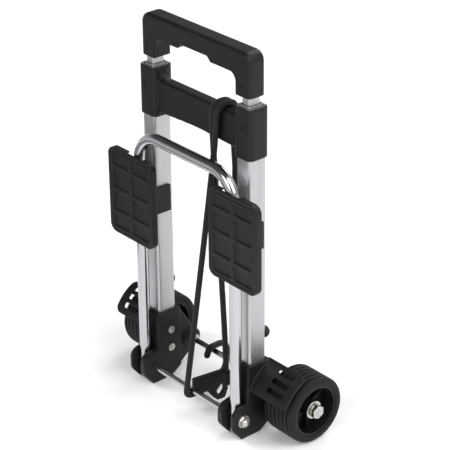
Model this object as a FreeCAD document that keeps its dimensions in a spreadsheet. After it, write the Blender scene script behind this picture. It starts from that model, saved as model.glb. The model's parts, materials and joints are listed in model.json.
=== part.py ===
import FreeCAD, Part
import Sketcher
import math
import os
import re

# Folding luggage cart, standing folded on its bracket feet and its wheels.
# +Z is up, +X runs along the axle to the right, and the front (platform side) faces -Y.
# The origin is the bottom centre of the cart's bounding box.  All sizes are in millimetres.

SIZES = {
    # main tubes: outer, middle and inner tube of one telescoping leg
    "tube_x": 70, "tube_y": -15,
    "outer_width": 18.2, "outer_depth": 21.6, "outer_corner": 3, "outer_wall": 1,
    "outer_bottom": 28, "outer_top": 351,
    "middle_width": 14.4, "middle_depth": 17.8, "middle_corner": 2.6, "middle_wall": 0.9,
    "middle_bottom": 36, "middle_top": 353,
    "inner_width": 10.8, "inner_depth": 14.2, "inner_corner": 2.2, "inner_wall": 0.9,
    "inner_bottom": 42, "inner_top": 379,
    "bush_length": 20, "foot_length": 16, "slide_gap": 0.3,
    # handle grip
    "grip_half": 78.6, "grip_depth": 20.4, "grip_bottom": 361, "grip_top": 405,
    "grip_leg": 19.6, "grip_ceiling": 382, "grip_recess_half": 19, "grip_recess": 5,
    "grip_shoulder": 10, "grip_inner_round": 8, "grip_edge": 4,
    "grip_screw_z": 373, "grip_screw": 1.6,
    # upper cross bracket
    "collar_width": 24.2, "collar_depth": 25, "collar_bottom": 299.5, "collar_corner": 6,
    "bar_depth": 15, "bar_bottom": 304.5, "bar_arch": 2.9, "bar_top": 338.6, "bar_sweep": 12, "bar_round": 3.5,
    "collar_screw_z": 332,
    # base brackets
    "bracket_half": 12, "bracket_top": 79, "bracket_wall": 14.6, "foot_front": -38.5, "foot_back": -14,
    "fork_slot": 12.8, "fork_sweep": 17.2, "lobe_front": -50, "lobe_low": 14, "lobe_high": 35,
    "lobe_round_low": 10, "lobe_round_high": 10, "axle_boss": 11, "web_recess": 2.5,
    "screw_low": 36, "screw_high": 57, "screw_head": 4.1, "head_height": 2.2,
    "recess_depth": 1.1, "recess_long": 2.2, "recess_wide": 0.5, "screw_shank": 1.7,
    "screw_back": 0.5, "stud_x": 73.2, "stud_z": 107, "stud_radius": 6.4, "stud_reach": 8.3,
    # platform hoop and its pivot rod
    "hoop_x": 71.6, "pivot_y": -37, "pivot_z": 21, "hoop_radius": 6, "hoop_wall": 1.2,
    "hoop_bend": 31, "hoop_top": 284.5, "hoop_end": 5, "plug_length": 5, "rod_radius": 3, "rod_half": 86,
    "nut_flange": 6.8, "nut_flange_thick": 1.3, "cap_nut_radius": 5.6, "nut_dome": 4.2,
    # platform pads
    "pad_inner": 42.6, "pad_outer": 111.8, "pad_height": 94.5, "pad_front": -46, "pad_depth": 7,
    "pad_plate": 2.8, "pad_wall": 2, "pad_corner": 9, "pad_rim": 6.8, "pad_rib": 4.5, "pad_tail": 3,
    "groove_inset": 3.4, "groove_width": 1.3, "groove_depth": 0.9,
    "pocket_depth": 1.4, "left_pad_z": 212, "right_pad_z": 223,
    "knuckle_radius": 8.4, "running_gap": 0.08, "bend_notch": 13.5, "knuckle_near": 19.5, "knuckle_far": 34,
    # storage clips on the main tubes
    "clip_drop": 3.5, "clip_half": 14.4, "clip_half_width": 12.2, "clip_back": -9.5, "clip_front": -38,
    # wheels
    "axle_y": 15, "axle_z": 35, "axle_radius": 3, "wheel_radius": 35, "wheel_inner": 92, "wheel_outer": 132.6,
    "rim_radius": 27, "rim_wall": 2.5, "hub_radius": 9, "hub_outer": 127.5, "web_half": 2,
    "tread_groove": 1.5, "tread_depth": 1.4, "tyre_shoulder": 4.5, "rib_half": 1.4, "rib_reach": 5,
    "nut_radius": 7.4, "inner_nut_radius": 6.2, "nut_height": 4.9, "nut_neck": 5.4, "washer_radius": 9.5,
    "washer_thick": 1.4, "washer_gap": 0.3, "axle_reach": 8, "spacer_radius": 5.5, "boss_reach": 5,
    # wheel guards
    "guard_radius": 46.8, "guard_thickness": 2.2, "guard_outer": 133.4, "guard_low": 22, "guard_span": 50,
    "guard_corner": 7,
    "slot_inner": 101, "slot_outer": 124, "slot_span": 7, "slot_first": 10, "slot_step": 13,
    # cord
    "cord_diameter": 6, "hook_section": 3.4, "flat_hook_x": 14.4, "flat_hook_thick": 4,
}

# The elastic cord's route, hook to hook: under the pivot rod, up the front, over the cross bracket, down the
# back, round the axle, up again, over the cross bracket and down the front to the second hook.
CORD_ROUTE = [
    (4.5, -13, 14.8), (3.4, -27, 14.5), (1.5, -43.8, 14.3), (29.4, -26.6, 286), (35, -27, 343.5),
    (35, -3, 343.5), (14, 8.5, 28.5), (21, 21.5, 28.5), (28, -3, 343.5), (28, -27, 343.5),
    (27.3, -26.6, 300), (15, -1, 62), (15, -1, 27),
]

# The centre line of the hook over the axle, from its tip to the cord's collar.
HOOK_ROUTE = [(-22, 4.8, 33.5), (-22, 8, 41.5), (-22, 31, 41.5), (-22, 32.5, 13.5), (2.2, -6, 14.6)]

doc = FreeCAD.newDocument("LuggageCart")
sheet = doc.addObject("Spreadsheet::Sheet", "Sizes")
for row, (alias, number) in enumerate(SIZES.items(), start=1):
    sheet.set(f"A{row}", alias)
    sheet.set(f"B{row}", str(number))
    sheet.setAlias(f"B{row}", alias)
doc.recompute()

ALIAS = re.compile(r"[a-z][a-z_]*")
ALONG = {
    "X": FreeCAD.Rotation(FreeCAD.Vector(0, 1, 0), 90),
    "Y": FreeCAD.Rotation(FreeCAD.Vector(1, 0, 0), -90),
    "Z": FreeCAD.Rotation(),
}
subparts = []


def formula(text):
    """Write a size formula with the sheet's name in front of each alias."""
    return ALIAS.sub(lambda word: f"Sizes.{word.group()}" if word.group() in SIZES else word.group(), str(text))


def value(text):
    """The number that a size formula comes to now."""
    return float(sheet.evalExpression(formula(text)))


def bind(item, **properties):
    """Bind properties of a document object to size formulas."""
    for name, text in properties.items():
        item.setExpression(name, formula(text))
    return item


def put(item, x=0, y=0, z=0):
    """Bind the base of an object's placement to size formulas."""
    for axis, text in zip("xyz", (x, y, z)):
        item.setExpression(f"Placement.Base.{axis}", formula(text))
    return item


def box(x, y, z):
    """A block between pairs of formulas along X, Y and Z."""
    item = doc.addObject("Part::Box", "Block")
    spans = [f"({high}) - ({low})" for low, high in (x, y, z)]
    bind(item, Length=spans[0], Width=spans[1], Height=spans[2])
    return put(item, x[0], y[0], z[0])


def rod(axis, start, radius, length):
    """A cylinder from a start point along an axis."""
    item = doc.addObject("Part::Cylinder", "Round")
    item.Placement = FreeCAD.Placement(FreeCAD.Vector(), ALONG[axis])
    bind(item, Radius=radius, Height=length)
    return put(item, *start)


def hexagon(start, radius, length):
    """A hexagonal bar along X."""
    item = doc.addObject("Part::Prism", "Hexagon")
    item.Polygon = 6
    item.Placement = FreeCAD.Placement(FreeCAD.Vector(), ALONG["X"])
    bind(item, Circumradius=radius, Height=length)
    return put(item, *start)


def ball(centre, radius):
    """A sphere about a centre."""
    item = doc.addObject("Part::Sphere", "Ball")
    bind(item, Radius=radius)
    return put(item, *centre)


def fuse(*items):
    """One solid from several that meet."""
    item = doc.addObject("Part::MultiFuse", "Joined")
    item.Shapes = list(items)
    item.Refine = True
    return item


def cut(item, *tools):
    """A solid with other solids taken away."""
    for tool in tools:
        less = doc.addObject("Part::Cut", "Less")
        less.Base = item
        less.Tool = tool
        item = less
    return item


def group(*items):
    """Separate solids that share one node."""
    item = doc.addObject("Part::Compound", "Group")
    item.Links = list(items)
    return item


def mirror(item):
    """The left-hand copy of a right-hand solid."""
    item_left = doc.addObject("Part::Mirroring", "Mirrored")
    item_left.Source = item
    item_left.Normal = FreeCAD.Vector(1, 0, 0)
    item_left.Base = FreeCAD.Vector(0, 0, 0)
    return item_left


def keep(item, label):
    """Name a finished sub-part; the label is also its file name."""
    item.Label = label
    subparts.append(item)
    return item


def keep_pair(item, label):
    """Keep a right-hand sub-part and its mirrored left-hand twin."""
    keep(item, f"{label}_right")
    keep(mirror(item), f"{label}_left")


def origin_plane(body, role):
    return next(plane for plane in body.Origin.OriginFeatures if plane.Role == role)


def pin(sketch, geometry, end, across, up):
    """Tie one point of a sketch to two formulas, measured from the sketch's origin."""
    for kind, text, axis in (("DistanceX", across, -2), ("DistanceY", up, -1)):
        number = value(text)
        if abs(number) < 1e-9:
            sketch.addConstraint(Sketcher.Constraint("PointOnObject", geometry, end, axis))
        elif number > 0:
            index = sketch.addConstraint(Sketcher.Constraint(kind, -1, 1, geometry, end, number))
            sketch.setExpression(f"Constraints[{index}]", formula(text))
        else:
            index = sketch.addConstraint(Sketcher.Constraint(kind, geometry, end, -1, 1, -number))
            sketch.setExpression(f"Constraints[{index}]", formula(f"-({text})"))


def outline(body, role, points):
    """A closed sketch of straight edges on an origin plane, each corner a pair of formulas."""
    sketch = body.newObject("Sketcher::SketchObject", "Outline")
    sketch.AttachmentSupport = [(origin_plane(body, role), "")]
    sketch.MapMode = "FlatFace"
    corners = [FreeCAD.Vector(value(across), value(up), 0) for across, up in points]
    for index, corner in enumerate(corners):
        sketch.addGeometry(Part.LineSegment(corner, corners[(index + 1) % len(corners)]), False)
    for index, (across, up) in enumerate(points):
        following = (index + 1) % len(points)
        sketch.addConstraint(Sketcher.Constraint("Coincident", index, 2, following, 1))
        pin(sketch, index, 1, across, up)
    return sketch


def rectangle(across_low, across_high, up_low, up_high):
    """The corners of a rectangle, in order."""
    return [(across_low, up_low), (across_high, up_low), (across_high, up_high), (across_low, up_high)]


def pad(body, role, points, length, both_ways=False):
    """Extrude an outline along its plane's normal."""
    feature = body.newObject("PartDesign::Pad", "Pad")
    feature.Profile = outline(body, role, points)
    feature.Midplane = both_ways
    bind(feature, Length=length)
    doc.recompute()
    return feature


def pocket(body, role, points):
    """Cut an outline right through the body, both ways, and check that it cut."""
    before = body.Shape.Volume
    feature = body.newObject("PartDesign::Pocket", "Pocket")
    feature.Profile = outline(body, role, points)
    feature.Midplane = True
    feature.Type = "ThroughAll"
    doc.recompute()
    if body.Shape.Volume >= before:
        raise ValueError(f"a pocket of {body.Label} cuts nothing")
    return feature


def round_edges(body, radius, wanted):
    """Fillet the edges of a body's tip that a test picks."""
    tip = body.Tip
    names = [f"Edge{number}" for number, edge in enumerate(tip.Shape.Edges, start=1) if wanted(edge)]
    if not names:
        raise ValueError(f"no edge of {body.Label} to round")
    feature = body.newObject("PartDesign::Fillet", "Round")
    feature.Base = (tip, names)
    bind(feature, Radius=radius)
    doc.recompute()
    return feature


def runs_along(edge, axis):
    """Whether an edge is straight and parallel to an axis."""
    if not isinstance(edge.Curve, Part.Line):
        return False
    direction = edge.tangentAt(edge.FirstParameter)
    return abs(abs(getattr(direction, axis)) - 1) < 1e-6


def new_body():
    return doc.addObject("PartDesign::Body", "Body")


# --- telescoping tubes -------------------------------------------------------------------------

def prism(width, depth, corner, bottom, top):
    """A solid bar of rounded rectangular section standing on the right-hand tube axis."""
    body = new_body()
    half_width, half_depth = f"({width}) / 2", f"({depth}) / 2"
    pad(body, "XY_Plane", rectangle(f"-({half_width})", half_width, f"-({half_depth})", half_depth),
        f"({top}) - ({bottom})")
    round_edges(body, corner, lambda edge: runs_along(edge, "z"))
    return put(body, "tube_x", "tube_y", bottom)


def tube(width, depth, corner, wall, bottom, top):
    """A tube of rounded rectangular section on the right-hand tube axis."""
    bore = prism(f"({width}) - 2 * ({wall})", f"({depth}) - 2 * ({wall})", f"({corner}) - ({wall})",
                 f"({bottom}) - 1", f"({top}) + 1")
    return cut(prism(width, depth, corner, bottom, top), bore)


def make_tubes():
    for name in ("outer", "middle", "inner"):
        keep_pair(tube(f"{name}_width", f"{name}_depth", f"{name}_corner", f"{name}_wall",
                       f"{name}_bottom", f"{name}_top"), f"{name}_tube")


def make_guides():
    """Bushes fixed in the top of each tube, and feet fixed round the bottom of the tube that slides in it."""
    for big, small in (("outer", "middle"), ("middle", "inner")):
        bore = f"{big}_width - 2 * {big}_wall", f"{big}_depth - 2 * {big}_wall"
        sleeve = f"{big}_width / 2 - {big}_wall - {small}_width / 2 - slide_gap"
        bush = tube(*bore, f"{big}_corner - {big}_wall", sleeve, f"{big}_top - bush_length", f"{big}_top")
        keep_pair(bush, f"{big}_tube_bush")
        foot = tube(f"{small}_width + 2 * ({sleeve})", f"{small}_depth + 2 * ({sleeve})",
                    f"{small}_corner + ({sleeve})", sleeve, f"{small}_bottom", f"{small}_bottom + foot_length")
        keep_pair(foot, f"{small}_tube_foot")


# --- handle ------------------------------------------------------------------------------------

def make_grip():
    """The moulded D-shaped grip, with a finger recess under its middle and a bore for each inner tube."""
    body = new_body()
    pad(body, "XZ_Plane", rectangle("-grip_half", "grip_half", "grip_bottom", "grip_top"),
        "grip_depth", both_ways=True)
    round_edges(body, "grip_shoulder", lambda edge: runs_along(edge, "y")
                and edge.CenterOfMass.z > value("grip_top") - 0.1)
    inside = "(grip_half - grip_leg)"
    pocket(body, "XZ_Plane", rectangle(f"-{inside}", inside, "grip_bottom", "grip_ceiling"))
    round_edges(body, "grip_inner_round", lambda edge: runs_along(edge, "y")
                and abs(edge.CenterOfMass.z - value("grip_ceiling")) < 0.1)
    pocket(body, "XZ_Plane", [("-grip_recess_half - grip_recess", "grip_ceiling"),
                              ("grip_recess_half + grip_recess", "grip_ceiling"),
                              ("grip_recess_half", "grip_ceiling + grip_recess"),
                              ("-grip_recess_half", "grip_ceiling + grip_recess")])
    round_edges(body, "grip_edge", lambda edge: abs(abs(edge.CenterOfMass.y) - value("grip_depth") / 2) < 1e-3
                and edge.CenterOfMass.z > value("grip_ceiling") + value("grip_recess") + 1)
    put(body, 0, "tube_y", 0)
    seat = prism("inner_width", "inner_depth", "inner_corner", "grip_bottom - 1", "inner_top")
    screw_hole = rod("Y", ("tube_x - 0.6", "tube_y - grip_depth / 2 - 1", "grip_screw_z"), "grip_screw",
                     "grip_depth / 2 - inner_depth / 2 + 1")
    tools = (seat, mirror(seat), screw_hole, mirror(screw_hole))
    keep(cut(body, *tools), "handle_grip")
    screw = rod("Y", ("tube_x - 0.6", "tube_y - grip_depth / 2 + 0.4", "grip_screw_z"), "grip_screw",
                "grip_depth / 2 - inner_depth / 2 - 0.4")
    keep(group(screw, mirror(screw)), "grip_screws")


# --- upper cross bracket -----------------------------------------------------------------------

def make_cross_bracket():
    """One moulding: a collar round each outer tube and an arched bar between them."""
    collar = prism("collar_width", "collar_depth", "collar_corner", "collar_bottom", "outer_top")
    inner_face = "tube_x - collar_width / 2"
    bar = new_body()
    pad(bar, "YZ_Plane", rectangle("-bar_depth / 2", "bar_depth / 2", "bar_bottom", "bar_top"),
        f"2 * ({inner_face}) + 2", both_ways=True)
    round_edges(bar, "bar_round", lambda edge: runs_along(edge, "x"))
    put(bar, 0, "tube_y", 0)
    arch_radius = "(pow(50; 2) + pow(bar_arch; 2)) / (2 * bar_arch)"
    arch = rod("Y", (0, "tube_y - bar_depth", f"bar_bottom + bar_arch - {arch_radius}"), arch_radius,
               "2 * bar_depth")
    corner = box((f"{inner_face} - bar_sweep", f"{inner_face} + 1"),
                 ("tube_y - bar_depth / 2 + bar_round", "tube_y + bar_depth / 2 - bar_round"),
                 ("bar_top - 1", "bar_top + bar_sweep"))
    sweep = rod("Y", (f"{inner_face} - bar_sweep", "tube_y - bar_depth", "bar_top + bar_sweep"), "bar_sweep",
                "2 * bar_depth")
    web = cut(corner, sweep)
    whole = fuse(collar, mirror(collar), cut(bar, arch), web, mirror(web))
    seat = prism("outer_width", "outer_depth", "outer_corner", "collar_bottom - 1", "outer_top + 1")
    screw_hole = rod("Y", ("tube_x", "tube_y - collar_depth / 2 - 1", "collar_screw_z"), "grip_screw",
                     "collar_depth / 2 - outer_depth / 2 + 1")
    keep(cut(whole, seat, mirror(seat), screw_hole, mirror(screw_hole)), "cross_bracket")
    screw = rod("Y", ("tube_x", "tube_y - collar_depth / 2 + 0.2", "collar_screw_z"), "grip_screw",
                "collar_depth / 2 - outer_depth / 2 - 0.2")
    keep(group(screw, mirror(screw)), "collar_screws")


# --- base brackets with their wheel guards -----------------------------------------------------

def sector(radius, low, high, start, span):
    """A slice of a cylinder about the axle from one X to another, its angles measured up from the front."""
    item = doc.addObject("Part::Cylinder", "Sector")
    forward = FreeCAD.Rotation(FreeCAD.Vector(0, -1, 0), FreeCAD.Vector(0, 0, 1), FreeCAD.Vector(-1, 0, 0), "XYZ")
    lift = FreeCAD.Rotation(FreeCAD.Vector(-1, 0, 0), value(start))
    item.Placement = FreeCAD.Placement(FreeCAD.Vector(), lift * forward)
    bind(item, Radius=radius, Angle=span, Height=f"({high}) - ({low})")
    return put(item, high, "axle_y", "axle_z")


def turned_on_axle(item, turn):
    """The item turned about the X axis and carried to the axle's line."""
    carrier = doc.addObject("Part::Compound", "Turned")
    carrier.Links = [item]
    carrier.Placement = FreeCAD.Placement(FreeCAD.Vector(), turn)
    return put(carrier, 0, "axle_y", "axle_z")


def corner_waste(angle, side):
    """What is taken off to round a free corner of the guard; side is 1 at its low edge, -1 at its high one."""
    heights = (-1, "guard_corner") if side > 0 else ("-guard_corner", 1)
    square = box(("guard_outer - guard_corner", "guard_outer + 1"),
                 ("-guard_radius - 3", "-guard_radius + 6"), heights)
    arc = rod("Y", ("guard_outer - guard_corner", "-guard_radius - 4", f"{side} * guard_corner"), "guard_corner", 12)
    return turned_on_axle(cut(square, arc), FreeCAD.Rotation(FreeCAD.Vector(-1, 0, 0), value(angle)))


def wheel_guard():
    """A slotted shell over the front of the wheel, closed by a wall beside the bracket."""
    wall_start = "tube_x + bracket_half - 3"
    shell = cut(sector("guard_radius", wall_start, "guard_outer", "guard_low", "guard_span"),
                rod("X", ("tube_x + bracket_half", "axle_y", "axle_z"), "guard_radius - guard_thickness",
                    "guard_outer"))
    slots = [sector("guard_radius + 1", "slot_inner", "slot_outer", angle, "slot_span")
             for angle in (f"guard_low + slot_first + {number} * slot_step" for number in range(3))]
    corners = [corner_waste("guard_low", 1), corner_waste("guard_low + guard_span", -1)]
    return cut(shell, *slots, *corners)


def bracket_profile():
    """The side outline of a base bracket, from the front of its foot round to the fork."""
    front, back = "tube_y - bracket_wall", "tube_y + bracket_wall"
    return [("foot_front", "0"), ("foot_back", "0"), ("axle_y - 12", "axle_z - 24"), ("axle_y + 4", "axle_z - 11"),
            ("axle_y + 4", "axle_z + 11"), (f"{back} + 1", "bracket_top - 3"), (back, "bracket_top"),
            (front, "bracket_top"), (f"{front} - 1", "lobe_high + 4"), ("lobe_front", "lobe_high"),
            ("lobe_front", "lobe_low")]


def at_height(edge, height):
    return abs(edge.CenterOfMass.z - value(height)) < 0.01 and edge.CenterOfMass.y < value("lobe_front") + 0.01


def make_base_brackets():
    """A socket for the outer tube, a fork for the platform leg, a foot, an axle boss and the wheel guard."""
    body = new_body()
    pad(body, "YZ_Plane", bracket_profile(), "2 * bracket_half", both_ways=True)
    for height, radius in (("lobe_high", "lobe_round_high"), ("lobe_low", "lobe_round_low")):
        round_edges(body, radius, lambda edge, height=height: runs_along(edge, "x") and at_height(edge, height))
    put(body, "tube_x", 0, 0)
    left_face = "tube_x - bracket_half"
    recess = box((f"{left_face} - 1", f"{left_face} + web_recess"), ("tube_y + bracket_wall", "axle_y + 20"),
                 (-1, "bracket_top + 1"))
    axle_boss = rod("X", (left_face, "axle_y", "axle_z"), "axle_boss", "2 * bracket_half + boss_reach")
    whole = fuse(cut(body, recess), axle_boss, wheel_guard())
    slot = ("hoop_x - fork_slot / 2", "hoop_x + fork_slot / 2")
    seat = prism("outer_width", "outer_depth", "outer_corner", "outer_bottom", "bracket_top + 1")
    front_slot = box(slot, ("lobe_front - 1", "pivot_y + hoop_radius + 0.5"), (-1, "bracket_top + 1"))
    end_sweep = cut(rod("X", (slot[0], "pivot_y", "pivot_z"), "fork_sweep", "fork_slot"),
                    box((f"{slot[0]} - 1", f"{slot[1]} + 1"), ("pivot_y - 20", "pivot_y + 20"),
                        ("pivot_z + hoop_radius + 0.5", "pivot_z + 20")))
    rod_hole = rod("X", (f"{left_face} - 1", "pivot_y", "pivot_z"), "rod_radius", "2 * bracket_half + 2")
    axle_hole = rod("X", (f"{left_face} - 1", "axle_y", "axle_z"), "axle_radius", "2 * bracket_half + 10")
    screw_holes = [rod("X", (f"{left_face} - 1", "tube_y + screw_back", height), "screw_shank",
                       "bracket_half - outer_width / 2 + 1") for height in ("screw_low", "screw_high")]
    bracket = cut(whole, seat, front_slot, end_sweep, rod_hole, axle_hole, *screw_holes)
    keep_pair(bracket, "base_bracket")


def make_bracket_screws():
    """Pan-head screws with a cross recess, which hold the brackets on the tubes."""
    screws = []
    for height in ("screw_low", "screw_high"):
        face, back = "tube_x - bracket_half", "tube_y + screw_back"
        head = rod("X", (f"{face} - head_height", back, height), "screw_head", "head_height")
        shank = rod("X", (face, back, height), "screw_shank", "bracket_half - outer_width / 2")
        recess = [box((f"{face} - head_height - 1", f"{face} - head_height + recess_depth"),
                      (f"{back} - {wide}", f"{back} + {wide}"), (f"{height} - {tall}", f"{height} + {tall}"))
                  for wide, tall in (("recess_long", "recess_wide"), ("recess_wide", "recess_long"))]
        screw = cut(fuse(head, shank), *recess)
        screws += [screw, mirror(screw)]
    keep(group(*screws), "bracket_screws")


def make_rear_studs():
    """A rubber bumper on the back of each outer tube."""
    back = "tube_y + outer_depth / 2"
    neck = rod("Y", ("stud_x", f"{back} - 3", "stud_z"), "stud_radius - 1", "stud_reach - stud_radius / 2 + 3")
    head = ball(("stud_x", f"{back} + stud_reach - stud_radius", "stud_z"), "stud_radius")
    stud = cut(fuse(neck, cut(head, box(("tube_x - 20", "tube_x + 20"), (f"{back} - 12", back),
                                        ("stud_z - 10", "stud_z + 10")))),
               prism("outer_width", "outer_depth", "outer_corner", "stud_z - 10", "stud_z + 10"))
    keep(group(stud, mirror(stud)), "rear_bumpers")


# --- platform ----------------------------------------------------------------------------------

def hoop(radius, overrun):
    """The bent bar of the platform as a solid of a given section radius."""
    leg_length = f"hoop_top - hoop_bend - hoop_end + {overrun}"
    parts = [rod("X", ("hoop_bend - hoop_x", "pivot_y", "hoop_top"), radius, "2 * (hoop_x - hoop_bend)")]
    for side in (1, -1):
        parts.append(rod("Z", (f"{side} * hoop_x", "pivot_y", f"hoop_end - {overrun}"), radius, leg_length))
        bend = doc.addObject("Part::Torus", "Bend")
        turn = FreeCAD.Rotation(FreeCAD.Vector(side, 0, 0), FreeCAD.Vector(0, 0, 1), FreeCAD.Vector(0, -side, 0), "XYZ")
        bend.Placement = FreeCAD.Placement(FreeCAD.Vector(), turn)
        bend.Angle3 = 90
        bind(bend, Radius1="hoop_bend", Radius2=radius)
        parts.append(put(bend, f"{side} * (hoop_x - hoop_bend)", "pivot_y", "hoop_top - hoop_bend"))
    return fuse(*parts)


def make_platform_hoop():
    """The steel hoop, hollow, with a pivot hole near each end and a plug in each end."""
    hole = rod("X", ("-hoop_x - 10", "pivot_y", "pivot_z"), "rod_radius + running_gap", "2 * hoop_x + 20")
    keep(cut(hoop("hoop_radius", "0"), hoop("hoop_radius - hoop_wall", "1"), hole), "platform_hoop")
    plug = rod("Z", ("hoop_x", "pivot_y", "hoop_end"), "hoop_radius - hoop_wall", "plug_length")
    keep(group(plug, mirror(plug)), "hoop_end_plugs")


def make_pivot_rod():
    """The rod that the hoop turns on, and the domed nuts on its ends."""
    keep(rod("X", ("-rod_half", "pivot_y", "pivot_z"), "rod_radius", "2 * rod_half"), "pivot_rod")
    face = "tube_x + bracket_half"
    dome = cut(ball(("rod_half - 1", "pivot_y", "pivot_z"), "nut_dome"),
               box((f"{face} - 6", face), ("pivot_y - 8", "pivot_y + 8"), ("pivot_z - 8", "pivot_z + 8")))
    nut = fuse(rod("X", (face, "pivot_y", "pivot_z"), "nut_flange", "nut_flange_thick"),
               hexagon((face, "pivot_y", "pivot_z"), "cap_nut_radius", f"rod_half - ({face})"), dome)
    bore = rod("X", (f"{face} - 1", "pivot_y", "pivot_z"), "rod_radius", f"rod_half - ({face}) + 1")
    nut = cut(nut, bore)
    keep(group(nut, mirror(nut)), "pivot_nuts")


def slab(width, height, depth, corner, front, centre_z):
    """An upright plate with rounded corners at the right-hand pad's place."""
    body = new_body()
    half_width, half_height = f"({width}) / 2", f"({height}) / 2"
    pad(body, "XZ_Plane", rectangle(f"-({half_width})", half_width, f"-({half_height})", half_height),
        depth, both_ways=True)
    round_edges(body, corner, lambda edge: runs_along(edge, "y"))
    return put(body, "(pad_inner + pad_outer) / 2", f"({front}) + ({depth}) / 2", centre_z)


def pad_groove(width, centre_z):
    """A thin line cut into a pad's face, all round inside its rim."""
    rings = []
    for inset in ("groove_inset", "(groove_inset + groove_width)"):
        rings.append(slab(f"{width} - 2 * {inset}", f"pad_height - 2 * {inset}", "groove_depth + 1",
                          f"pad_corner - {inset}", "pad_front - 1", centre_z))
    return cut(*rings)


def platform_pad(centre_z):
    """A ribbed foot pad whose two knuckles turn on the hoop's leg, above and below the storage clip."""
    width = "pad_outer - pad_inner"
    plate = slab(width, "pad_height", "pad_depth", "pad_corner", "pad_front", centre_z)
    hollow = slab(f"{width} - 2 * pad_wall", "pad_height - 2 * pad_wall", "pad_depth", "pad_corner - pad_wall",
                  "pad_front + pad_plate", centre_z)
    pad_shell = cut(plate, hollow)
    knuckle_length = "knuckle_far - knuckle_near"
    knuckles = []
    for start in ("knuckle_near", "-knuckle_far"):
        knuckle = rod("Z", ("hoop_x", "pivot_y", f"{centre_z} - clip_drop + {start}"), "knuckle_radius", knuckle_length)
        before_plate = box(("hoop_x - 10", "hoop_x + 10"), ("pad_front - 12", "pad_front + pad_plate / 2"),
                           (f"{centre_z} - pad_height", f"{centre_z} + pad_height"))
        knuckles.append(cut(knuckle, before_plate))
    column = f"((({width}) - 2 * pad_rim - pad_rib) / 2)"
    row = "((pad_height - pad_tail - 2 * pad_rim - 3 * pad_rib) / 2)"
    narrow, broad = f"({row} * 0.36)", f"({row} * 0.64)"
    pockets = []
    for across in ("pad_inner + pad_rim", f"pad_inner + pad_rim + {column} + pad_rib"):
        up = f"{centre_z} - pad_height / 2 + pad_rim"
        for height in (f"{narrow} + pad_tail", broad, broad, narrow):
            pockets.append(box((across, f"{across} + {column}"), ("pad_front - 1", "pad_front + pocket_depth"),
                               (up, f"{up} + {height}")))
            up = f"{up} + {height} + pad_rib"
    bore = rod("Z", ("hoop_x", "pivot_y", f"{centre_z} - pad_height"), "hoop_radius + running_gap", "2 * pad_height")
    bend_room = cut(rod("Z", ("hoop_x", "pivot_y", "hoop_top - hoop_bend"), "bend_notch", "hoop_bend"),
                    box(("hoop_x - 12", "hoop_x + 12"), ("pad_front - 12", "pad_front + pad_plate"),
                        ("hoop_top - hoop_bend", "hoop_top")))
    return cut(fuse(pad_shell, *knuckles), bore, bend_room, pad_groove(width, centre_z), *pockets)


def storage_clip(centre_z):
    """A block fixed on the front of the outer tube, with an open cradle that the hoop's leg folds into."""
    heights = (f"{centre_z} - clip_drop - clip_half", f"{centre_z} - clip_drop + clip_half")
    saddle = box(("tube_x - clip_half_width", "tube_x + clip_half_width"),
                 ("pivot_y + hoop_radius + 0.6", "clip_back"), heights)
    cradle = box(("hoop_x - hoop_radius - 2.6", "hoop_x + hoop_radius + 2.6"),
                 ("clip_front", "pivot_y + hoop_radius + 3"), heights)
    channel = ("hoop_x - hoop_radius - 0.3", "hoop_x + hoop_radius + 0.3")
    groove = box(channel, ("clip_front - 1", "pivot_y"), heights)
    seat = rod("Z", ("hoop_x", "pivot_y", heights[0]), "hoop_radius + 0.3", "2 * clip_half")
    tube_seat = prism("outer_width", "outer_depth", "outer_corner", heights[0], heights[1])
    return cut(fuse(saddle, cradle), groove, seat, tube_seat)


def make_pads_and_clips():
    keep(platform_pad("right_pad_z"), "pad_right")
    keep(mirror(platform_pad("left_pad_z")), "pad_left")
    keep(storage_clip("right_pad_z"), "storage_clip_right")
    keep(mirror(storage_clip("left_pad_z")), "storage_clip_left")


# --- wheels and axle ---------------------------------------------------------------------------

def revolved(points):
    """A solid turned about the axle's line from an outline of (X, radius) pairs."""
    body = new_body()
    feature = body.newObject("PartDesign::Revolution", "Turned")
    feature.Profile = outline(body, "XY_Plane", points)
    feature.ReferenceAxis = (feature.Profile[0], ["H_Axis"])
    feature.Angle = 360
    doc.recompute()
    return body


def wheel_tyre():
    """A rubber tyre with grooves round its tread and rounded shoulders."""
    points = [("wheel_inner", "rim_radius"), ("wheel_outer", "rim_radius"), ("wheel_outer", "wheel_radius")]
    grooves = 6
    for number in range(grooves, 0, -1):
        centre = f"wheel_inner + (wheel_outer - wheel_inner) * {number} / {grooves + 1}"
        edges = [f"{centre} + tread_groove / 2", f"{centre} - tread_groove / 2"]
        depths = ["wheel_radius", "wheel_radius - tread_depth"]
        points += [(edges[0], depths[0]), (edges[0], depths[1]), (edges[1], depths[1]), (edges[1], depths[0])]
    points.append(("wheel_inner", "wheel_radius"))
    body = revolved(points)
    ends = (value("wheel_inner"), value("wheel_outer"))
    round_edges(body, "tyre_shoulder", lambda edge: isinstance(edge.Curve, Part.Circle)
                and abs(edge.Curve.Radius - value("wheel_radius")) < 1e-3
                and min(abs(edge.CenterOfMass.x - end) for end in ends) < 1e-3)
    return put(body, 0, "axle_y", "axle_z")


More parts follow.
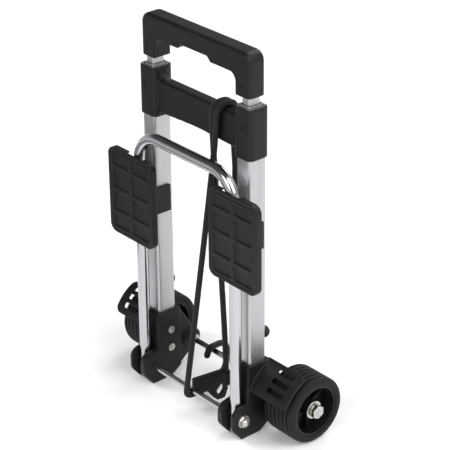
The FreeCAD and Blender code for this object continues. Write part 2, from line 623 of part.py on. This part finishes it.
def wheel_hub():
    """A moulded hub: rim, web, boss and six ribs on its outer side."""
    middle = "((wheel_inner + wheel_outer) / 2)"
    inner_rim = "(rim_radius - rim_wall)"
    points = [("wheel_inner + 1", "axle_radius + running_gap"), ("hub_outer", "axle_radius + running_gap"),
              ("hub_outer", "hub_radius"), (f"{middle} + web_half", "hub_radius"), (f"{middle} + web_half", inner_rim),
              ("wheel_outer - 1", inner_rim), ("wheel_outer - 1", "rim_radius"), ("wheel_inner + 1", "rim_radius"),
              ("wheel_inner + 1", inner_rim), (f"{middle} - web_half", inner_rim), (f"{middle} - web_half", "hub_radius"),
              ("wheel_inner + 1", "hub_radius")]
    turned = put(revolved(points), 0, "axle_y", "axle_z")
    ribs = []
    for number in range(6):
        rib = box((middle, f"{middle} + web_half + rib_reach"), ("-rib_half", "rib_half"),
                  ("hub_radius - 1", "rim_radius - rim_wall / 2"))
        ribs.append(turned_on_axle(rib, FreeCAD.Rotation(FreeCAD.Vector(1, 0, 0), 60 * number)))
    return fuse(turned, *ribs)


def make_wheels():
    keep_pair(wheel_tyre(), "tyre")
    keep_pair(wheel_hub(), "wheel_hub")


def ring(start, outside, length, shape=rod):
    """A washer, spacer or nut on the axle."""
    where = (start, "axle_y", "axle_z")
    blank = rod("X", where, outside, length) if shape is rod else hexagon(where, outside, length)
    return cut(blank, rod("X", (f"{start} - 1", "axle_y", "axle_z"), "axle_radius", f"{length} + 2"))


def make_axle():
    """The axle with its nuts, washers and spacers."""
    end = "(hub_outer + axle_reach)"
    keep(rod("X", (f"-{end}", "axle_y", "axle_z"), "axle_radius", f"2 * {end}"), "axle")
    washer = ring("hub_outer + washer_gap", "washer_radius", "washer_thick")
    keep(group(washer, mirror(washer)), "axle_washers")
    neck_start = "hub_outer + washer_gap + washer_thick"
    neck = ring(neck_start, "nut_neck", f"{end} - nut_height - ({neck_start})")
    outer_nut = fuse(neck, ring(f"{end} - nut_height", "nut_radius", "nut_height", hexagon))
    inner_nut = ring("tube_x - bracket_half - nut_height", "inner_nut_radius", "nut_height", hexagon)
    keep(group(outer_nut, mirror(outer_nut), inner_nut, mirror(inner_nut)), "axle_nuts")
    spacer_start = "tube_x + bracket_half + boss_reach"
    spacer = ring(spacer_start, "spacer_radius", f"wheel_inner + 1 - ({spacer_start}) - washer_gap")
    keep(group(spacer, mirror(spacer)), "axle_spacers")


# --- elastic cord and its hooks -----------------------------------------------------------------

def rounded_path(points):
    """A wire of straight runs along a route, joined by tangent arcs as large as the runs allow."""
    corners = [FreeCAD.Vector(*point) for point in points]
    edges = []
    here = corners[0]
    for before, corner, after in zip(corners, corners[1:], corners[2:]):
        back, onward = before - corner, after - corner
        half_angle = back.getAngle(onward) / 2
        reach = 0.45 * min(back.Length, onward.Length)
        radius = reach * math.tan(half_angle)
        print("cord arc radius", round(radius, 1), "turn", round(180 - math.degrees(2 * half_angle), 1))
        back.normalize()
        onward.normalize()
        bisector = (back + onward).normalize()
        start, end = corner + back * reach, corner + onward * reach
        middle = corner + bisector * (radius / math.sin(half_angle) - radius)
        edges += [Part.LineSegment(here, start).toShape(), Part.Arc(start, middle, end).toShape()]
        here = end
    edges.append(Part.LineSegment(here, corners[-1]).toShape())
    return Part.Wire(edges)


def swept(route, radius):
    """A round bar along the rounded path of a route."""
    path = rounded_path(route)
    start = FreeCAD.Vector(*route[0])
    section = Part.Wire(Part.makeCircle(value(radius), start, FreeCAD.Vector(*route[1]) - start))
    item = doc.addObject("Part::Feature", "Swept")
    item.Shape = path.makePipeShell([section], True, False)
    expected = math.pi * value(radius) ** 2 * path.Length
    print("swept length", round(path.Length, 1), "volume ratio", round(item.Shape.Volume / expected, 4))
    return item


def between(start, end, radius, overrun=0):
    """A cylinder from one point to another."""
    first, last = FreeCAD.Vector(*start), FreeCAD.Vector(*end)
    item = doc.addObject("Part::Cylinder", "Link")
    bind(item, Radius=radius)
    item.Height = (last - first).Length + overrun
    item.Placement = FreeCAD.Placement(first, FreeCAD.Rotation(FreeCAD.Vector(0, 0, 1), last - first))
    return item


def flat_hook():
    """A flat moulded hook: a straight top, a jaw on the pivot rod and a three-cornered eye below."""
    body = new_body()
    pad(body, "YZ_Plane", [(-40, 37), (-2.5, 37), (0.8, 27), (0.6, 13), (-3, 3.4), (-11.5, 3), (-17, 8), (-25.5, 20),
                           (-31, 17), (-36, 16), (-36, 18.6), (-40, 24.6)], "flat_hook_thick", both_ways=True)
    pocket(body, "YZ_Plane", [(-5.3, 23), (-13, 14.5), (-11, 9), (-7.4, 8.6), (-4.4, 14)])
    round_edges(body, 1.5, lambda edge: runs_along(edge, "x"))
    body.Placement = FreeCAD.Placement(FreeCAD.Vector(value("flat_hook_x"), 0, 0),
                                       FreeCAD.Rotation(FreeCAD.Vector(0, 0, 1), -9.5))
    return body


def make_hooks(cord):
    """The moulded hooks: one over the axle, the other on the pivot rod."""
    tip = ball(HOOK_ROUTE[0], "hook_section")
    collar = between(HOOK_ROUTE[-1], (5, -15.5, 14.8), "hook_section + 1")
    keep(cut(fuse(swept(HOOK_ROUTE, "hook_section"), tip, collar), cord), "cord_hook_rear")
    socket = rod("Z", (15, -1, 19), "cord_diameter / 2 + 1.8", 15)
    rod_seat = rod("X", (0, "pivot_y", "pivot_z"), "rod_radius + running_gap", 20)
    keep(cut(fuse(flat_hook(), socket), rod_seat, cord), "cord_hook_front")


# --- checks and files --------------------------------------------------------------------------

def main():
    make_tubes()
    make_guides()
    make_grip()
    make_cross_bracket()
    make_base_brackets()
    make_bracket_screws()
    make_rear_studs()
    make_platform_hoop()
    make_pivot_rod()
    make_pads_and_clips()
    make_wheels()
    make_axle()
    make_hooks(keep(swept(CORD_ROUTE, "cord_diameter / 2"), "elastic_cord"))
    doc.recompute()
    for item in doc.Objects:
        if "Invalid" in item.State or "Error" in item.State:
            raise ValueError(f"{item.Name} ({item.Label}) did not compute: {item.State}")
    for item in subparts:
        if item.Shape.isNull() or not item.Shape.isValid():
            raise ValueError(f"{item.Label} has no valid shape")
    os.makedirs("parts", exist_ok=True)
    for item in subparts:
        item.Shape.exportStep(f"parts/{item.Label}.step")
        print(item.Label, len(item.Shape.Solids), round(item.Shape.Volume))


main()
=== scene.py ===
import bpy
import json
import math
from mathutils import Matrix, Vector


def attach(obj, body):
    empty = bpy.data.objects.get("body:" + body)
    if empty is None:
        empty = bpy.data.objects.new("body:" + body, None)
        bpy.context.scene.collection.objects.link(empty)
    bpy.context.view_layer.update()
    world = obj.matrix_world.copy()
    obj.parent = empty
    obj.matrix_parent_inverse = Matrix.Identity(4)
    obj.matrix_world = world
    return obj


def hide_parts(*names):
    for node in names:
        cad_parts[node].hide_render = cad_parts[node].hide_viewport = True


# Folding luggage cart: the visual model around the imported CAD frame.  All sizes are in metres.

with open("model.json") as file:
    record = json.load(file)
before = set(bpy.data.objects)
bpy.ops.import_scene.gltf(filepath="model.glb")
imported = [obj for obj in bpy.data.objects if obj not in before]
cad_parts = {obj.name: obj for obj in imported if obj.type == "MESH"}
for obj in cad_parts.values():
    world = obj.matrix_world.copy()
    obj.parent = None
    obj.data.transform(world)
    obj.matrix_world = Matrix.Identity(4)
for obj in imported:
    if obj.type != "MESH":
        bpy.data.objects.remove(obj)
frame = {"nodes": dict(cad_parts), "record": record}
nodes = frame["nodes"]
scene = bpy.context.scene
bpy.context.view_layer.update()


# --- camera ------------------------------------------------------------------------------------

def place_camera():
    """A long lens on the cart's front right, slightly rolled."""
    azimuth, elevation, roll = math.radians(49.38), math.radians(27.0), math.radians(0.5)
    target, distance = Vector((0.01334, 0.00056, 0.20057)), 1.76665
    sensor, lens = 36, 143.72
    back = Vector((math.sin(azimuth) * math.cos(elevation), -math.cos(azimuth) * math.cos(elevation),
                   math.sin(elevation)))
    level = Vector((math.cos(azimuth), math.sin(azimuth), 0))
    upright = back.cross(level)
    right = level * math.cos(roll) - upright * math.sin(roll)
    up = level * math.sin(roll) + upright * math.cos(roll)
    camera = bpy.data.objects.new("camera", bpy.data.cameras.new("camera"))
    camera.data.sensor_width = sensor
    camera.data.lens = lens
    camera.data.clip_start = 0.1
    camera.data.clip_end = 20
    turn = Matrix((right, up, back)).transposed().to_4x4()
    camera.matrix_world = Matrix.Translation(target + back * distance) @ turn
    scene.collection.objects.link(camera)
    scene.camera = camera


place_camera()


# --- node materials ----------------------------------------------------------------------------

DULL_SHINE = 0.28


class Surface:
    """A material built from nodes round one Principled shader."""

    def __init__(self, name, color, roughness, metallic=0.0, **sockets):
        self.material = bpy.data.materials.new(name)
        self.material.use_nodes = True
        self.tree = self.material.node_tree
        self.shader = self.tree.nodes["Principled BSDF"]
        self.shader.inputs["Base Color"].default_value = (*color, 1)
        self.shader.inputs["Roughness"].default_value = roughness
        self.shader.inputs["Metallic"].default_value = metallic
        if not metallic:
            self.shader.inputs["Specular IOR Level"].default_value = DULL_SHINE
        for socket, number in sockets.items():
            self.shader.inputs[socket.replace("_", " ")].default_value = number
        self.coordinates = self.add("ShaderNodeTexCoord")
        self.height = None

    def add(self, kind, **settings):
        node = self.tree.nodes.new(kind)
        for name, setting in settings.items():
            setattr(node, name, setting)
        return node

    def link(self, output, target):
        self.tree.links.new(output, target)

    def math(self, operation, first, second=None):
        node = self.add("ShaderNodeMath", operation=operation)
        for socket, given in zip(node.inputs, (first, second)):
            if isinstance(given, (int, float)):
                socket.default_value = given
            elif given is not None:
                self.link(given, socket)
        return node.outputs[0]

    def noise(self, stretch, detail=3.0, source="Object"):
        """Noise whose scale differs along X, Y and Z, in cycles per metre."""
        mapping = self.add("ShaderNodeMapping")
        mapping.inputs["Scale"].default_value = stretch
        self.link(self.coordinates.outputs[source], mapping.inputs["Vector"])
        texture = self.add("ShaderNodeTexNoise")
        texture.inputs["Scale"].default_value = 1
        texture.inputs["Detail"].default_value = detail
        self.link(mapping.outputs[0], texture.inputs["Vector"])
        return texture.outputs["Fac"]

    def spread(self, factor, low, high, first, second):
        """Map a factor between two values, or two colours."""
        if isinstance(first, tuple):
            ramp = self.add("ShaderNodeValToRGB")
            for element, place, color in zip(ramp.color_ramp.elements, (low, high), (first, second)):
                element.position = place
                element.color = (*color, 1)
            self.link(factor, ramp.inputs[0])
            return ramp.outputs[0]
        span = self.add("ShaderNodeMapRange")
        for name, number in (("From Min", low), ("From Max", high), ("To Min", first), ("To Max", second)):
            span.inputs[name].default_value = number
        self.link(factor, span.inputs["Value"])
        return span.outputs[0]

    def edges(self, radius):
        """1 on convex and concave edges of the mesh, 0 on its flats."""
        bevel = self.add("ShaderNodeBevel", samples=4)
        bevel.inputs["Radius"].default_value = radius
        geometry = self.add("ShaderNodeNewGeometry")
        dot = self.add("ShaderNodeVectorMath", operation="DOT_PRODUCT")
        self.link(bevel.outputs[0], dot.inputs[0])
        self.link(geometry.outputs["Normal"], dot.inputs[1])
        return self.spread(dot.outputs["Value"], 0.8, 0.995, 1.0, 0.0)

    def bump(self, factor, strength, distance):
        node = self.add("ShaderNodeBump")
        node.inputs["Strength"].default_value = strength
        node.inputs["Distance"].default_value = distance
        self.link(factor, node.inputs["Height"])
        if self.height is not None:
            self.link(self.height, node.inputs["Normal"])
        self.height = node.outputs[0]
        self.link(self.height, self.shader.inputs["Normal"])

    def color(self, output):
        self.link(output, self.shader.inputs["Base Color"])

    def roughness(self, output):
        self.link(output, self.shader.inputs["Roughness"])


def moulded(name, dark, light, smooth, rough, grain=1600, depth=0.35):
    """Moulded plastic or rubber: mottled colour, pebbled grain, and edges that are smoother and painted
    lighter, partly as wear and partly as a painted highlight.
    """
    made = Surface(name, light, rough)
    cloud = made.noise((45, 45, 45), 4)
    speck = made.noise((420, 420, 420), 2)
    tone = made.math("ADD", made.math("MULTIPLY", cloud, 0.7), made.math("MULTIPLY", speck, 0.3))
    # Edge mask from a Bevel node. The convex and concave edges get a smoother finish and a lighter colour,
    # partly edge wear and partly a painted highlight.
    edge_wear_and_highlight_mask = made.edges(0.0007)
    base = made.spread(tone, 0.38, 0.64, dark, light)
    # Painted highlight and wear: at the edges the colour is mixed towards 2.6 times the light tone.
    wear_and_highlight_colour = made.add("ShaderNodeMix", data_type="RGBA")
    made.link(made.math("MULTIPLY", edge_wear_and_highlight_mask, 0.35), wear_and_highlight_colour.inputs["Factor"])
    made.link(base, wear_and_highlight_colour.inputs["A"])
    wear_and_highlight_colour.inputs["B"].default_value = (light[0] * 2.6, light[1] * 2.6, light[2] * 2.6, 1)
    made.color(wear_and_highlight_colour.outputs["Result"])
    made.roughness(made.math("SUBTRACT", made.spread(cloud, 0.35, 0.65, smooth, rough),
                             made.math("MULTIPLY", edge_wear_and_highlight_mask, 0.1)))
    made.bump(made.noise((grain, grain, grain), 2), depth, 0.00012)
    return made.material


def drawn_metal(name, dark, light, smooth, rough, along, fine=2600, depth=0.1):
    """Metal with fine lines along one axis, such as a drawn tube or bar."""
    made = Surface(name, light, rough, 1.0)
    lines = [fine, fine, fine]
    broad = [fine / 9, fine / 9, fine / 9]
    lines["XYZ".index(along)] = fine / 180
    broad["XYZ".index(along)] = 3
    streak = made.noise(tuple(lines), 4)
    band = made.noise(tuple(broad), 2)
    tone = made.math("ADD", made.math("MULTIPLY", streak, 0.5), made.math("MULTIPLY", band, 0.5))
    made.color(made.spread(tone, 0.3, 0.7, dark, light))
    smudge = made.noise((28, 28, 28), 3)
    sheen = made.math("ADD", made.math("MULTIPLY", streak, 0.55), made.math("MULTIPLY", smudge, 0.45))
    made.roughness(made.spread(sheen, 0.33, 0.66, smooth, rough))
    made.bump(streak, depth, 0.00005)
    return made.material


def braided(name):
    """The woven sheath of the elastic cord, on the tube's own UV map."""
    made = Surface(name, (0.014, 0.014, 0.015), 0.72, **{"Sheen_Weight": 0.06, "Sheen_Roughness": 0.5})
    split = made.add("ShaderNodeSeparateXYZ")
    made.link(made.coordinates.outputs["UV"], split.inputs[0])
    around = made.math("MULTIPLY", split.outputs["X"], 12 * math.pi)
    along = made.math("MULTIPLY", split.outputs["Y"], 1100.0)
    right = made.math("SINE", made.math("ADD", around, along))
    left = made.math("SINE", made.math("SUBTRACT", around, along))
    weave = made.math("MAXIMUM", made.math("ABSOLUTE", right), made.math("ABSOLUTE", left))
    fuzz = made.noise((2400, 2400, 2400), 2)
    tone = made.math("ADD", made.math("MULTIPLY", weave, 0.7), made.math("MULTIPLY", fuzz, 0.3))
    made.color(made.spread(tone, 0.35, 0.95, (0.004, 0.004, 0.0045), (0.016, 0.016, 0.017)))
    made.bump(weave, 0.6, 0.00025)
    made.bump(fuzz, 0.25, 0.0001)
    return made.material


MATERIALS = {
    "black_plastic": moulded("black_plastic", (0.006, 0.006, 0.0068), (0.0098, 0.0098, 0.0108), 0.36, 0.48),
    "wheel_plastic": moulded("wheel_plastic", (0.008, 0.008, 0.0088), (0.0125, 0.0125, 0.0135), 0.38, 0.5),
    "pad_plastic": moulded("pad_plastic", (0.0062, 0.0062, 0.0068), (0.0102, 0.0102, 0.011), 0.44, 0.56),
    "guide_plastic": moulded("guide_plastic", (0.03, 0.03, 0.03), (0.05, 0.05, 0.05), 0.4, 0.5),
    "hook_plastic": moulded("hook_plastic", (0.007, 0.007, 0.0076), (0.012, 0.012, 0.0128), 0.3, 0.42),
    "tyre_rubber": moulded("tyre_rubber", (0.007, 0.007, 0.0074), (0.012, 0.012, 0.0125), 0.62, 0.78,
                           1100, 0.5),
    "bumper_rubber": moulded("bumper_rubber", (0.014, 0.014, 0.014), (0.025, 0.025, 0.025), 0.5, 0.65),
    "satin_aluminium": drawn_metal("satin_aluminium", (0.5, 0.5, 0.515), (0.58, 0.58, 0.595), 0.36, 0.46,
                                   "Z", 2600, 0.05),
    "polished_steel": drawn_metal("polished_steel", (0.49, 0.49, 0.51), (0.59, 0.59, 0.61), 0.13, 0.2,
                                  "Z", 1800, 0.01),
    "black_steel": drawn_metal("black_steel", (0.015, 0.015, 0.016), (0.03, 0.03, 0.031), 0.35, 0.5,
                               "X", 1500, 0.1),
    "zinc_steel": drawn_metal("zinc_steel", (0.5, 0.49, 0.46), (0.7, 0.69, 0.66), 0.2, 0.36, "X", 1500, 0.1),
    "elastic": braided("elastic"),
}


def paint(item, slot_name):
    item.data.materials.clear()
    item.data.materials.append(MATERIALS[slot_name])


# --- carried-over CAD nodes --------------------------------------------------------------------

SLOTS = {part["node"]: part["material_slot"] for part in frame["record"]["subparts"]}
# The mouldings, each with the fineness of its new skin in metres and how many times that is smoothed.
MOULDINGS = (
    (("handle_grip", "cross_bracket"), 0.0006, 12),
    (("base_bracket_left", "base_bracket_right"), 0.0006, 5),
    (("cord_hook_front", "cord_hook_rear"), 0.0005, 5),
    (("pad_left", "pad_right", "storage_clip_left", "storage_clip_right"), 0.0005, 3),
)
FITTINGS = ("bracket_screws", "rear_bumpers", "pivot_nuts", "axle_nuts", "axle_washers", "wheel_hub_left",
            "wheel_hub_right", "axle_spacers")
FITTING_EDGE = 0.0005
WELD_GAP = 1e-6


def drop_custom_normals(mesh):
    if "custom_normal" in mesh.attributes:
        mesh.attributes.remove(mesh.attributes["custom_normal"])


def soften(item, width):
    """Round the edges of a CAD node with modifiers; its own mesh stays as it is."""
    flat_within, sharp_beyond = math.radians(0.8), math.radians(32)
    mesh = item.data
    drop_custom_normals(mesh)
    mesh.polygons.foreach_set("use_smooth", [True] * len(mesh.polygons))
    item.modifiers.new("weld", "WELD").merge_threshold = WELD_GAP
    flat = item.modifiers.new("flat", "DECIMATE")
    flat.decimate_type = "DISSOLVE"
    flat.angle_limit = flat_within
    edge = item.modifiers.new("edge", "BEVEL")
    edge.width = width
    edge.segments = 3
    edge.limit_method = "ANGLE"
    edge.angle_limit = sharp_beyond
    edge.use_clamp_overlap = True
    edge.harden_normals = True
    edge.miter_outer = "MITER_ARC"


def mould(item, voxel, passes):
    """Give a CAD node the soft edges and blended corners of a moulding, with modifiers only."""
    drop_custom_normals(item.data)
    item.modifiers.new("weld", "WELD").merge_threshold = WELD_GAP
    skin = item.modifiers.new("skin", "REMESH")
    skin.mode = "VOXEL"
    skin.voxel_size = voxel
    skin.use_smooth_shade = True
    melt = item.modifiers.new("melt", "SMOOTH")
    melt.factor = 0.5
    melt.iterations = passes


for node_name, node in nodes.items():
    paint(node, SLOTS[node_name])
for names, voxel, passes in MOULDINGS:
    for node_name in names:
        mould(nodes[node_name], voxel, passes)
for node_name in FITTINGS:
    soften(nodes[node_name], FITTING_EDGE)


# --- shared mesh helpers -------------------------------------------------------------------------

def mesh_object(name, vertices, faces, slot_name, body):
    """A smooth-shaded mesh in a material slot, which moves with a body."""
    mesh = bpy.data.meshes.new(name)
    mesh.from_pydata(vertices, [], faces)
    mesh.update()
    mesh.polygons.foreach_set("use_smooth", [True] * len(mesh.polygons))
    item = bpy.data.objects.new(name, mesh)
    scene.collection.objects.link(item)
    paint(item, slot_name)
    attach(item, body)
    return item


def tube_along(name, points, radius, sides, slot_name, body):
    """A round tube that follows points, with a UV map: around, and metres along."""
    tangents = [(after - before).normalized() for before, after in
                zip([points[0], *points[:-1]], [*points[1:], points[-1]])]
    side = tangents[0].orthogonal().normalized()
    vertices, lengths, travelled = [], [], 0.0
    for index, (point, tangent) in enumerate(zip(points, tangents)):
        side = (side - tangent * side.dot(tangent)).normalized()
        across = tangent.cross(side)
        if index:
            travelled += (point - points[index - 1]).length
        lengths.append(travelled)
        vertices += [point + (side * math.cos(turn) + across * math.sin(turn)) * radius
                     for turn in (2 * math.pi * step / sides for step in range(sides))]
    faces = [(ring * sides + step, ring * sides + (step + 1) % sides,
              (ring + 1) * sides + (step + 1) % sides, (ring + 1) * sides + step)
             for ring in range(len(points) - 1) for step in range(sides)]
    last = (len(points) - 1) * sides
    faces.append(tuple(reversed(range(sides))))
    faces.append(tuple(range(last, last + sides)))
    item = mesh_object(name, vertices, faces, slot_name, body)
    layer = item.data.uv_layers.new(name="UVMap")
    for ring in range(len(points) - 1):
        for step in range(sides):
            start = item.data.polygons[ring * sides + step].loop_start
            for corner, (turn, place) in enumerate(((step, ring), (step + 1, ring), (step + 1, ring + 1),
                                                    (step, ring + 1))):
                layer.data[start + corner].uv = (turn / sides, lengths[place])
    return item


# --- platform hoop -------------------------------------------------------------------------------

HOOP_X, HOOP_Y, HOOP_LOW, HOOP_TOP, HOOP_BEND, HOOP_RADIUS = 0.0716, -0.037, 0.0052, 0.2845, 0.031, 0.006


def hoop_line():
    """The middle line of the hoop: up one leg, round a bend, across, round the other bend and down."""
    straight, turns = 60, 40
    centre = Vector((HOOP_X - HOOP_BEND, HOOP_Y, HOOP_TOP - HOOP_BEND))
    rise = (centre.z - HOOP_LOW) / straight
    right = [Vector((HOOP_X, HOOP_Y, HOOP_LOW + rise * step)) for step in range(straight)]
    for step in range(turns + 1):
        angle = math.pi / 2 * step / turns
        right.append(centre + Vector((math.cos(angle), 0, math.sin(angle))) * HOOP_BEND)
    return right + [Vector((-point.x, point.y, point.z)) for point in reversed(right)]


hoop = tube_along("hoop", hoop_line(), HOOP_RADIUS, 40, "polished_steel", "platform")
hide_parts("platform_hoop")


# --- elastic cord --------------------------------------------------------------------------------

CORD_ROUTE = [
    (0.0045, -0.013, 0.0148), (0.0034, -0.027, 0.0145), (0.0015, -0.0438, 0.0143), (0.0028, -0.0425, 0.0299),
    (0.0294, -0.0266, 0.286), (0.0329, -0.0266, 0.3195), (0.035, -0.027, 0.3423),
    (0.035, -0.003, 0.3423), (0.0334, -0.0021, 0.3196), (0.015, 0.008, 0.0432), (0.014, 0.0085, 0.0285),
    (0.021, 0.0215, 0.0285), (0.0213, 0.0204, 0.0432), (0.0275, -0.0011, 0.3196), (0.028, -0.003, 0.3423),
    (0.028, -0.027, 0.3423), (0.0275, -0.0268, 0.3195), (0.015, -0.001, 0.062), (0.015, -0.001, 0.027),
]
CORD_DIAMETER = 0.006


def route_points(name, route, fineness):
    """Points along the smooth spline that has the route as its control points."""
    curve = bpy.data.curves.new(name, "CURVE")
    curve.dimensions = "3D"
    spline = curve.splines.new("NURBS")
    spline.points.add(len(route) - 1)
    for point, place in zip(spline.points, route):
        point.co = (*place, 1)
    spline.order_u = 3
    spline.use_endpoint_u = True
    spline.resolution_u = fineness
    holder = bpy.data.objects.new(name, curve)
    scene.collection.objects.link(holder)
    bpy.context.view_layer.update()
    line = bpy.data.meshes.new_from_object(holder.evaluated_get(bpy.context.evaluated_depsgraph_get()))
    points = [vertex.co.copy() for vertex in line.vertices]
    bpy.data.objects.remove(holder)
    bpy.data.curves.remove(curve)
    bpy.data.meshes.remove(line)
    return points


cord_line = route_points("cord_line", CORD_ROUTE, 32)
cord = tube_along("cord", cord_line, CORD_DIAMETER / 2, 14, "elastic", "root")
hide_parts("elastic_cord")


# --- studio --------------------------------------------------------------------------------------

WHITE = 1.2
LAMP_AIM = Vector((0, 0, 0.2))


def sheet(name, centre, span):
    """A flat level rectangle on the stage, which is no part of the cart."""
    mesh = bpy.data.meshes.new(name)
    across, deep = span[0] / 2, span[1] / 2
    mesh.from_pydata([(-across, -deep, 0), (across, -deep, 0), (across, deep, 0), (-across, deep, 0)], [],
                     [(0, 1, 2, 3)])
    item = bpy.data.objects.new(name, mesh)
    item.location = centre
    scene.collection.objects.link(item)
    return item


def card(name, centre, span, turn, shade):
    """A matt card that only reflections see, to shape the bands on the metal."""
    item = sheet(name, centre, span)
    item.rotation_euler = tuple(math.radians(angle) for angle in turn)
    matt = Surface(name, (shade, shade, shade), 1.0)
    matt.shader.inputs["Specular IOR Level"].default_value = 0
    item.data.materials.append(matt.material)
    item.visible_camera = item.visible_diffuse = item.visible_shadow = False


def lamp(name, place, size, power):
    """A square area lamp turned towards the middle of the cart."""
    light = bpy.data.lights.new(name, "AREA")
    light.size = size
    light.energy = power
    holder = bpy.data.objects.new(name, light)
    holder.location = place
    holder.rotation_mode = "QUATERNION"
    holder.rotation_quaternion = (Vector(place) - LAMP_AIM).to_track_quat("Z", "Y")
    scene.collection.objects.link(holder)
    return holder


def white_surround():
    """A sheet just above the floor that only the camera sees: clear round the object, white further out."""
    item = sheet("surround", (0, 0, -0.0003), (24, 24))
    clear_within, white_beyond = 0.5, 1.8
    made = Surface("surround", (1, 1, 1), 1.0)
    glow = made.add("ShaderNodeEmission")
    glow.inputs["Strength"].default_value = WHITE
    clear = made.add("ShaderNodeBsdfTransparent")
    blend = made.add("ShaderNodeMixShader")
    distance = made.add("ShaderNodeVectorMath", operation="LENGTH")
    made.link(made.coordinates.outputs["Object"], distance.inputs[0])
    made.link(made.spread(distance.outputs["Value"], clear_within, white_beyond, 0.0, 1.0), blend.inputs["Fac"])
    made.link(clear.outputs[0], blend.inputs[1])
    made.link(glow.outputs[0], blend.inputs[2])
    output = next(node for node in made.tree.nodes if node.type == "OUTPUT_MATERIAL")
    made.link(blend.outputs[0], output.inputs["Surface"])
    item.data.materials.append(made.material)
    item.visible_diffuse = item.visible_glossy = item.visible_shadow = item.visible_transmission = False


def studio():
    """A white floor and surround, a world that is pale at the horizon and dark above, and four lamps."""
    floor = sheet("floor", (0, 0, -0.0005), (12, 12))
    pale = Surface("studio_floor", (0.9, 0.9, 0.9), 0.9)
    pale.shader.inputs["Emission Color"].default_value = (1, 1, 1, 1)
    pale.shader.inputs["Emission Strength"].default_value = 0.1
    pale.color(pale.spread(pale.noise((3, 3, 3), 2), 0.3, 0.7, (0.93, 0.93, 0.93), (0.96, 0.96, 0.96)))
    floor.data.materials.append(pale.material)
    world = bpy.data.worlds.new("studio")
    world.use_nodes = True
    tree = world.node_tree
    coordinates = tree.nodes.new("ShaderNodeTexCoord")
    split = tree.nodes.new("ShaderNodeSeparateXYZ")
    ramp = tree.nodes.new("ShaderNodeValToRGB")
    tree.links.new(coordinates.outputs["Generated"], split.inputs[0])
    tree.links.new(split.outputs["Z"], ramp.inputs[0])
    path = tree.nodes.new("ShaderNodeLightPath")
    plain = tree.nodes.new("ShaderNodeMix")
    plain.data_type = "RGBA"
    plain.inputs["B"].default_value = (WHITE, WHITE, WHITE, 1)
    tree.links.new(path.outputs["Is Camera Ray"], plain.inputs["Factor"])
    tree.links.new(ramp.outputs[0], plain.inputs["A"])
    tree.links.new(plain.outputs["Result"], tree.nodes["Background"].inputs["Color"])
    elements = ramp.color_ramp.elements
    elements[0].position, elements[0].color = 0.0, (0.95, 0.95, 0.96, 1)
    elements[1].position, elements[1].color = 0.5, (0.1, 0.1, 0.105, 1)
    tree.nodes["Background"].inputs["Strength"].default_value = 0.85
    scene.world = world
    scene.view_settings.view_transform = "Standard"
    lamp("key", (1.5, 0.1, 1.7), 1.5, 32)
    lamp("fill", (-1.5, -1.2, 1.5), 0.8, 22).visible_glossy = False
    lamp("rim", (-0.3, 1.8, 1.8), 1.6, 30)
    lamp("front", (0.6, -1.9, 1.5), 1.2, 19)
    white_surround()
    card("flag_left", (-0.62, -0.56, 0.004), (0.95, 1.1), (0, 0, 41), 0.3)


studio()
